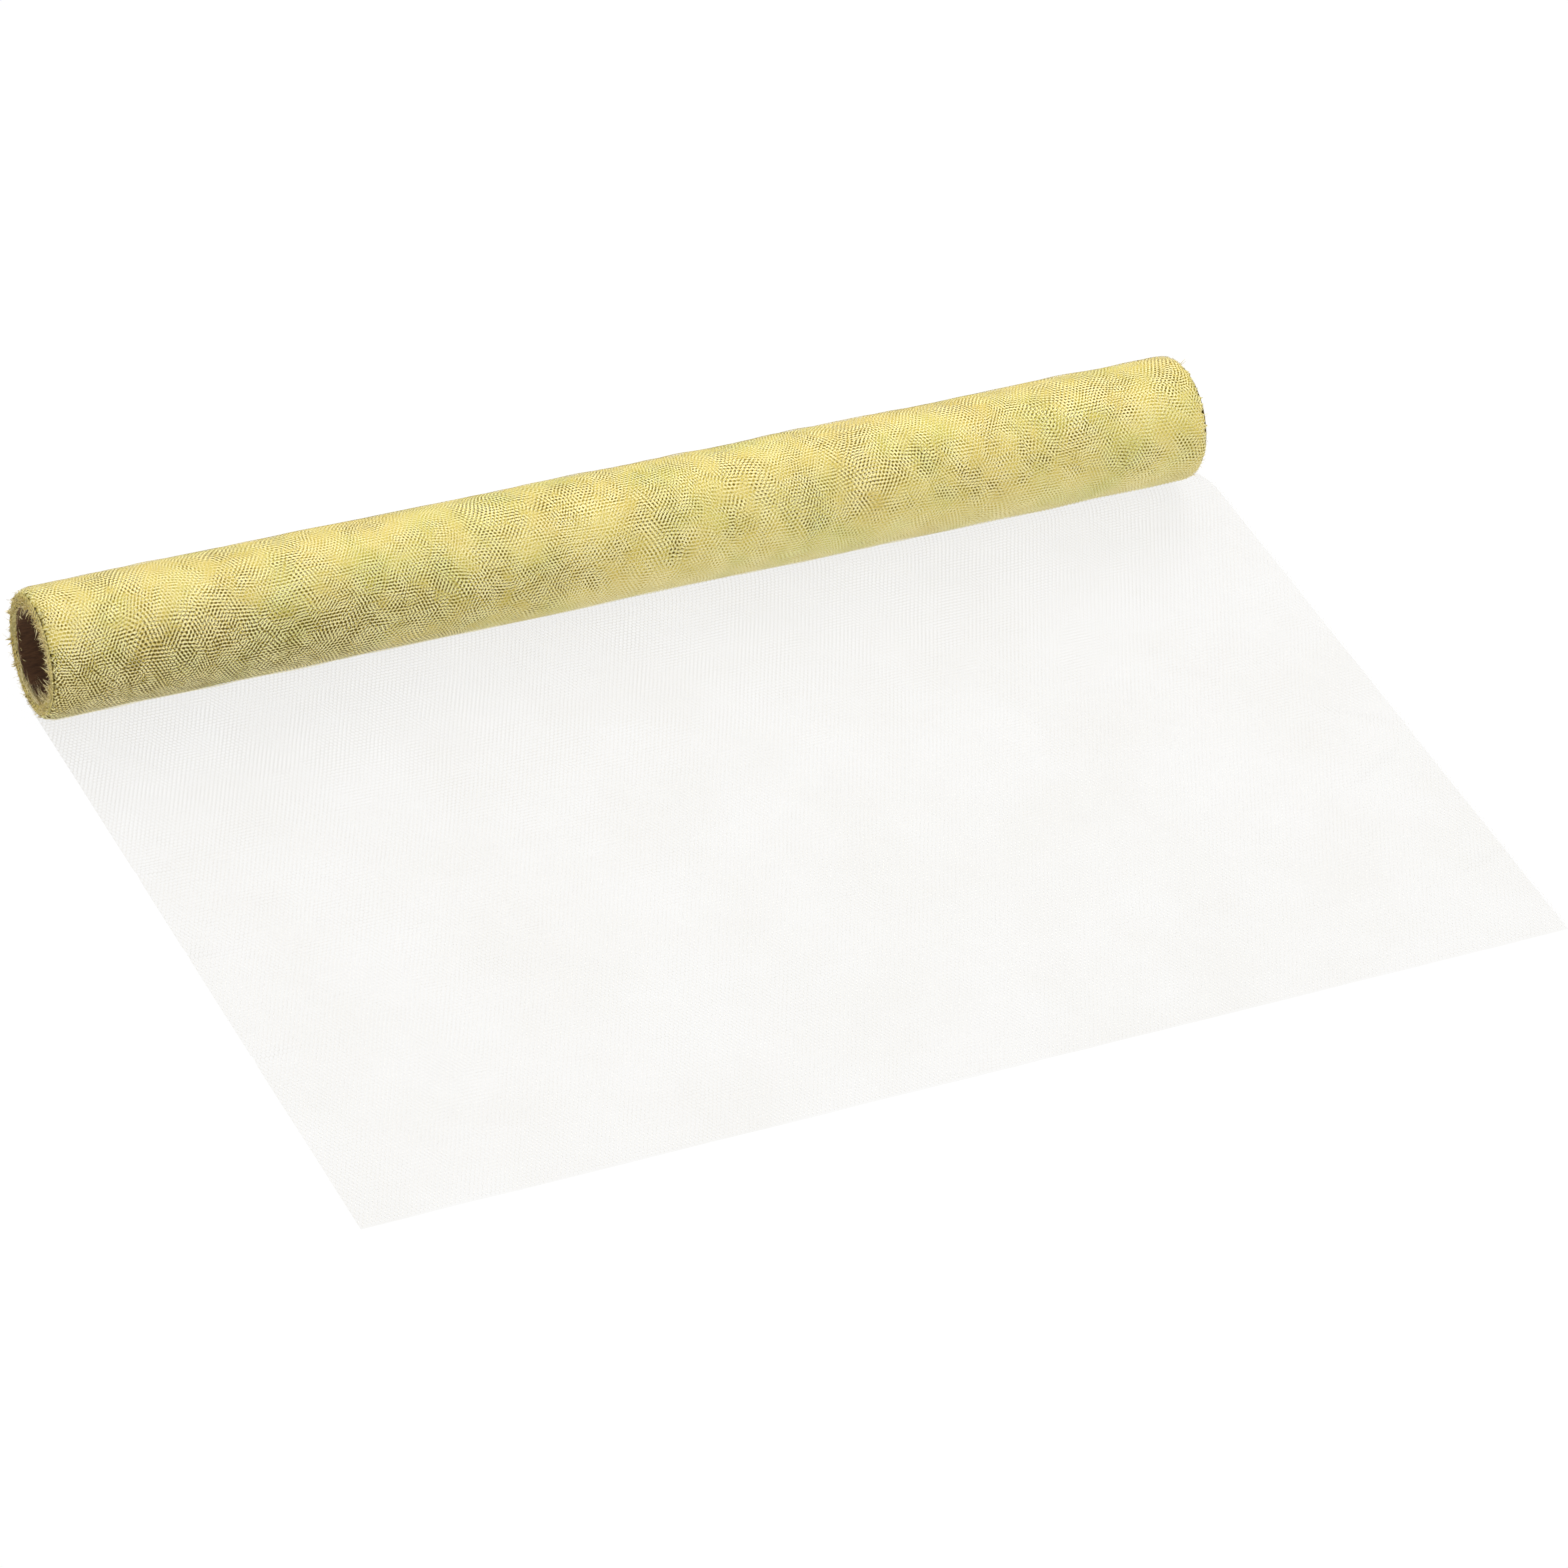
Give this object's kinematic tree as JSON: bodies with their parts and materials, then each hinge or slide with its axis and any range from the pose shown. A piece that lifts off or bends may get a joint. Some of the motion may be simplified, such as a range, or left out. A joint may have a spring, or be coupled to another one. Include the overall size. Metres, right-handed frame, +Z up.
{
  "type": "wrapping net roll",
  "caption": "Roll of fine metallic net for gift wrapping on a paper core, with its first stretch laid out flat in front of it.",
  "frame": {"origin": "on the surface the roll stands on, under the middle of the roll's axis", "axes": "+X along the roll's axis, +Y from the laid net towards the back of the roll, +Z up"},
  "size_m": [0.5412, 0.3049, 0.0535],
  "materials": {
    "core_board": "brown kraft board, matt",
    "clear_tape": "frosted clear tape",
    "wound_net": "gold metallic net, many layers",
    "single_net": "sheer gold net, one layer"
  },
  "bodies": {
    "laid_stretch": {"laid_web": "single_net"},
    "travelling_stretch": {"lead_off_web": "single_net"},
    "roll": {"core_liner_ply": "core_board", "core_inner_ply": "core_board", "core_outer_ply": "core_board", "core_cover_ply": "core_board", "start_tapes": "clear_tape", "wound_web": "wound_net", "outer_lap": "wound_net"}
  },
  "joints": [
    {"name": "roll_travel", "type": "slide", "parent": "laid_stretch", "child": "travelling_stretch", "axis": [0, -1, 0], "range_m": [0, 0.24]},
    {"name": "roll_spin", "type": "hinge", "parent": "travelling_stretch", "child": "roll", "pos_m": [0, 0, 0.02725], "axis": [1, 0, 0], "range_deg": [0, 524]}
  ],
  "couplings": [
    {"joint": "roll_spin", "follows": "roll_travel", "rad_per_m": 38.095}
  ]
}
